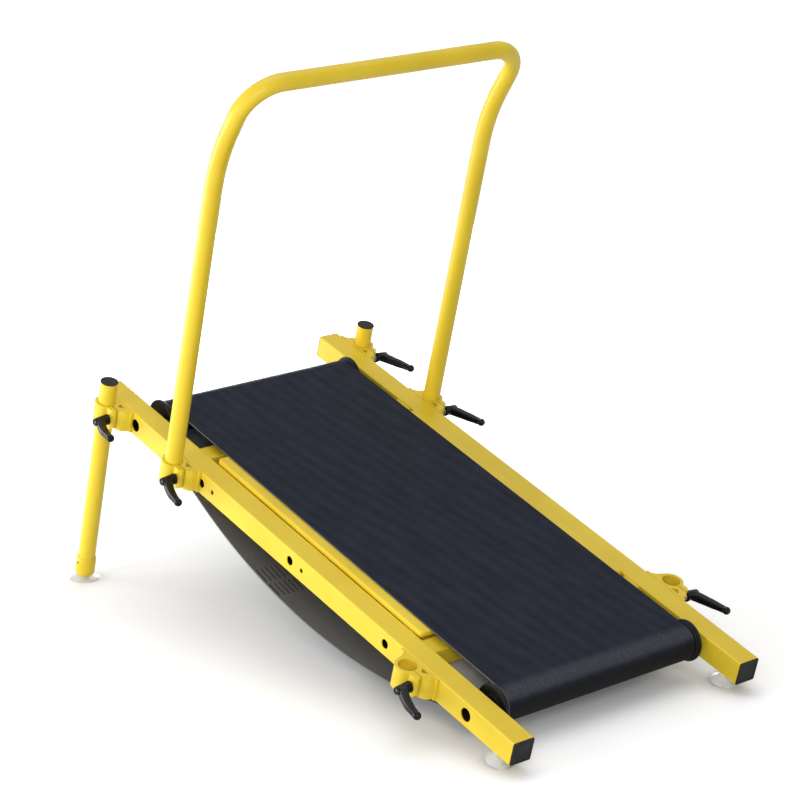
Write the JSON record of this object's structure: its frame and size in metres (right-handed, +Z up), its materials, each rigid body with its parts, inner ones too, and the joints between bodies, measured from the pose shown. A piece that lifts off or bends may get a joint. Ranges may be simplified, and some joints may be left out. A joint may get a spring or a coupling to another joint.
{
  "type": "pool treadmill",
  "caption": "Manual underwater treadmill: inclined yellow tube frame, black belt on two rollers, U-shaped handrail, height-adjusting front legs, split clamps with levers, suction feet.",
  "frame": {"origin": "on the floor, under the centre of the whole treadmill's box", "axes": "+Y toward the raised front end that the user faces, +X to the user's right, +Z up"},
  "size_m": [0.8454, 1.4646, 1.2285],
  "materials": {
    "yellow_paint": "glossy golden-yellow powder coat",
    "deck_panel": "yellow coated board with rounded edges",
    "black_plastic": "satin black moulded plastic",
    "lever_plastic": "semi-gloss black glass-filled nylon",
    "belt_rubber": "dark navy-charcoal belt with a fine weave",
    "roller_plastic": "black moulded plastic",
    "pan_plastic": "dark grey sheet",
    "steel": "plain stainless steel",
    "cup_rubber": "milky translucent grey rubber"
  },
  "bodies": {
    "frame": {"left_rail": "yellow_paint", "left_front_rail_cap": "black_plastic", "left_front_bearing": "steel", "left_front_axle_bolt": "steel", "left_rear_rail_cap": "black_plastic", "left_rear_bearing": "steel", "left_rear_axle_bolt": "steel", "left_front_clamp": "yellow_paint", "left_middle_clamp": "yellow_paint", "left_rear_clamp": "yellow_paint", "left_rear_suction_cup": "cup_rubber", "right_rail": "yellow_paint", "right_front_rail_cap": "black_plastic", "right_front_bearing": "steel", "right_front_axle_bolt": "steel", "right_rear_rail_cap": "black_plastic", "right_rear_bearing": "steel", "right_rear_axle_bolt": "steel", "right_front_clamp": "yellow_paint", "right_middle_clamp": "yellow_paint", "right_rear_clamp": "yellow_paint", "right_rear_suction_cup": "cup_rubber", "front_cross_tube": "yellow_paint", "front_axle": "steel", "rear_cross_tube": "yellow_paint", "rear_axle": "steel", "front_deck_support": "yellow_paint", "middle_deck_support": "yellow_paint", "rear_deck_support": "yellow_paint", "deck_board": "deck_panel", "running_belt": "belt_rubber", "belly_pan": "pan_plastic"},
    "front_roller_body": {"front_roller": "roller_plastic"},
    "rear_roller_body": {"rear_roller": "roller_plastic"},
    "handrail_body": {"handrail": "yellow_paint"},
    "left_leg": {"left_leg_tube": "yellow_paint", "left_leg_cap": "black_plastic", "left_leg_boot": "yellow_paint"},
    "left_foot": {"left_front_suction_cup": "cup_rubber"},
    "left_front_lever": {"left_front_clamp_lever": "lever_plastic", "left_front_clamp_stud": "steel"},
    "left_middle_lever": {"left_middle_clamp_lever": "lever_plastic", "left_middle_clamp_stud": "steel"},
    "left_rear_lever": {"left_rear_clamp_lever": "lever_plastic", "left_rear_clamp_stud": "steel"},
    "right_leg": {"right_leg_tube": "yellow_paint", "right_leg_cap": "black_plastic", "right_leg_boot": "yellow_paint"},
    "right_foot": {"right_front_suction_cup": "cup_rubber"},
    "right_front_lever": {"right_front_clamp_lever": "lever_plastic", "right_front_clamp_stud": "steel"},
    "right_middle_lever": {"right_middle_clamp_lever": "lever_plastic", "right_middle_clamp_stud": "steel"},
    "right_rear_lever": {"right_rear_clamp_lever": "lever_plastic", "right_rear_clamp_stud": "steel"}
  },
  "joints": [
    {"name": "front_roller_spin", "type": "hinge", "parent": "frame", "child": "front_roller_body", "pos_m": [0, 0.51066, 0.39887], "axis": [1, 0, 0], "continuous": true},
    {"name": "rear_roller_spin", "type": "hinge", "parent": "frame", "child": "rear_roller_body", "pos_m": [0, -0.59133, 0.08434], "axis": [1, 0, 0], "continuous": true},
    {"name": "handrail_lift", "type": "slide", "parent": "frame", "child": "handrail_body", "axis": [0, -0.2745, 0.9616], "range_m": [0, 0.06]},
    {"name": "left_leg_height", "type": "slide", "parent": "frame", "child": "left_leg", "axis": [0, -0.2745, 0.9616], "range_m": [-0.04, 0.3]},
    {"name": "left_foot_tilt", "type": "hinge", "parent": "left_leg", "child": "left_foot", "pos_m": [-0.354, 0.69833, 0.0219], "axis": [1, 0, 0], "range_deg": [-9, 40]},
    {"name": "left_front_lever_turn", "type": "hinge", "parent": "frame", "child": "left_front_lever", "pos_m": [-0.3698, 0.55222, 0.41177], "axis": [-1, 0, 0], "range_deg": [0, 180]},
    {"name": "left_middle_lever_turn", "type": "hinge", "parent": "frame", "child": "left_middle_lever", "pos_m": [-0.3698, 0.30124, 0.34013], "axis": [-1, 0, 0], "range_deg": [0, 180]},
    {"name": "left_rear_lever_turn", "type": "hinge", "parent": "frame", "child": "left_rear_lever", "pos_m": [-0.3698, -0.47765, 0.11782], "axis": [-1, 0, 0], "range_deg": [0, 180]},
    {"name": "right_leg_height", "type": "slide", "parent": "frame", "child": "right_leg", "axis": [0, -0.2745, 0.9616], "range_m": [-0.04, 0.3]},
    {"name": "right_foot_tilt", "type": "hinge", "parent": "right_leg", "child": "right_foot", "pos_m": [0.354, 0.69833, 0.0219], "axis": [1, 0, 0], "range_deg": [-9, 40]},
    {"name": "right_front_lever_turn", "type": "hinge", "parent": "frame", "child": "right_front_lever", "pos_m": [0.3698, 0.55222, 0.41177], "axis": [1, 0, 0], "range_deg": [0, 180]},
    {"name": "right_middle_lever_turn", "type": "hinge", "parent": "frame", "child": "right_middle_lever", "pos_m": [0.3698, 0.30124, 0.34013], "axis": [1, 0, 0], "range_deg": [0, 180]},
    {"name": "right_rear_lever_turn", "type": "hinge", "parent": "frame", "child": "right_rear_lever", "pos_m": [0.3698, -0.47765, 0.11782], "axis": [1, 0, 0], "range_deg": [0, 180]}
  ],
  "couplings": [
    {"joint": "rear_roller_spin", "follows": "front_roller_spin", "ratio": 1}
  ]
}
